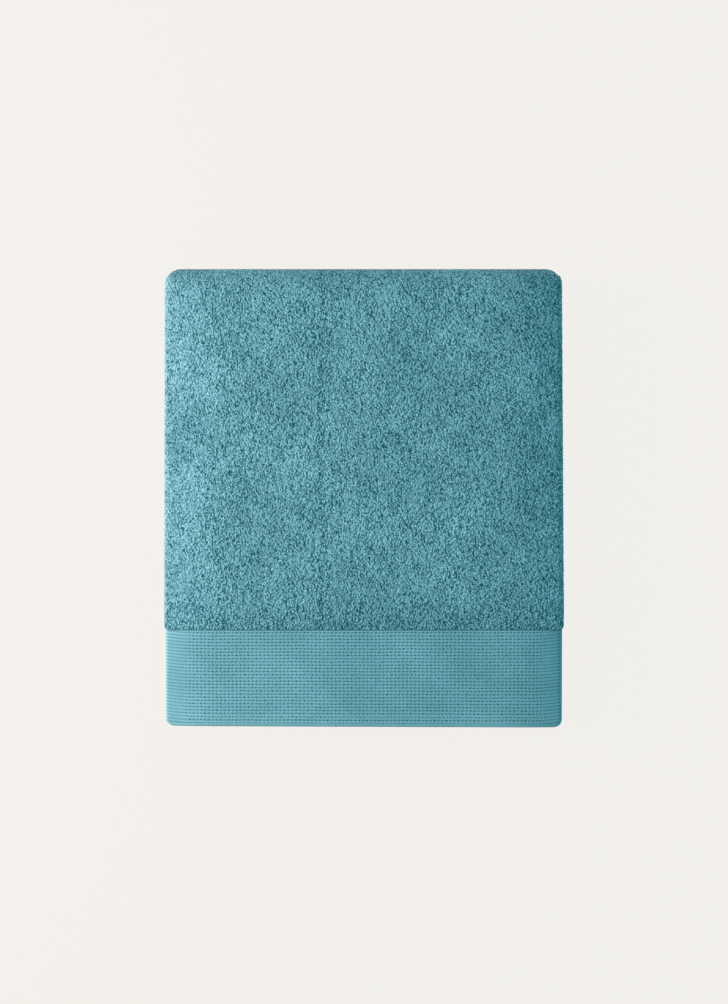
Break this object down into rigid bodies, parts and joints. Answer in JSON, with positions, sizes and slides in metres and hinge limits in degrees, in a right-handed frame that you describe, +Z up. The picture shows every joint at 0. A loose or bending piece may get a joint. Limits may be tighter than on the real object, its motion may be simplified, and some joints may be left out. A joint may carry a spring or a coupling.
{
  "type": "folded bath towel",
  "caption": "Teal terry bath towel folded into a flat rectangle, with a ribbed flat-woven border along its near edge; it opens like a book about its back folds.",
  "frame": {"origin": "centre of the bounding box in plan, on the bottom face", "axes": "+X across the folded width, +Y from the bordered front edge to the back folds, +Z up out of the top panel's face"},
  "size_m": [0.332, 0.38, 0.0477],
  "materials": {
    "terry": "looped terry pile, matt",
    "border": "flat-woven ribbed band, low sheen",
    "hem": "flat-woven turned hem, low sheen"
  },
  "bodies": {
    "lower_half": {"bottom_panel": "terry", "bottom_side_hem_inner": "hem", "bottom_side_hem_outer": "hem", "second_panel": "terry", "second_side_hem_inner": "hem", "second_side_hem_outer": "hem", "front_fold": "terry", "outer_back_fold_lower": "terry", "inner_back_fold_lower": "terry"},
    "upper_half": {"third_panel": "terry", "third_side_hem_inner": "hem", "third_side_hem_outer": "hem", "third_border": "border", "third_end_hem": "hem", "top_panel": "terry", "top_side_hem_inner": "hem", "top_side_hem_outer": "hem", "top_border": "border", "top_end_hem": "hem", "outer_back_fold_upper": "terry", "inner_back_fold_upper": "terry"}
  },
  "joints": [
    {"name": "back_fold", "type": "hinge", "parent": "lower_half", "child": "upper_half", "pos_m": [0, 0.19015, 0.02385], "axis": [-1, 0, 0], "range_deg": [0, 180]}
  ]
}
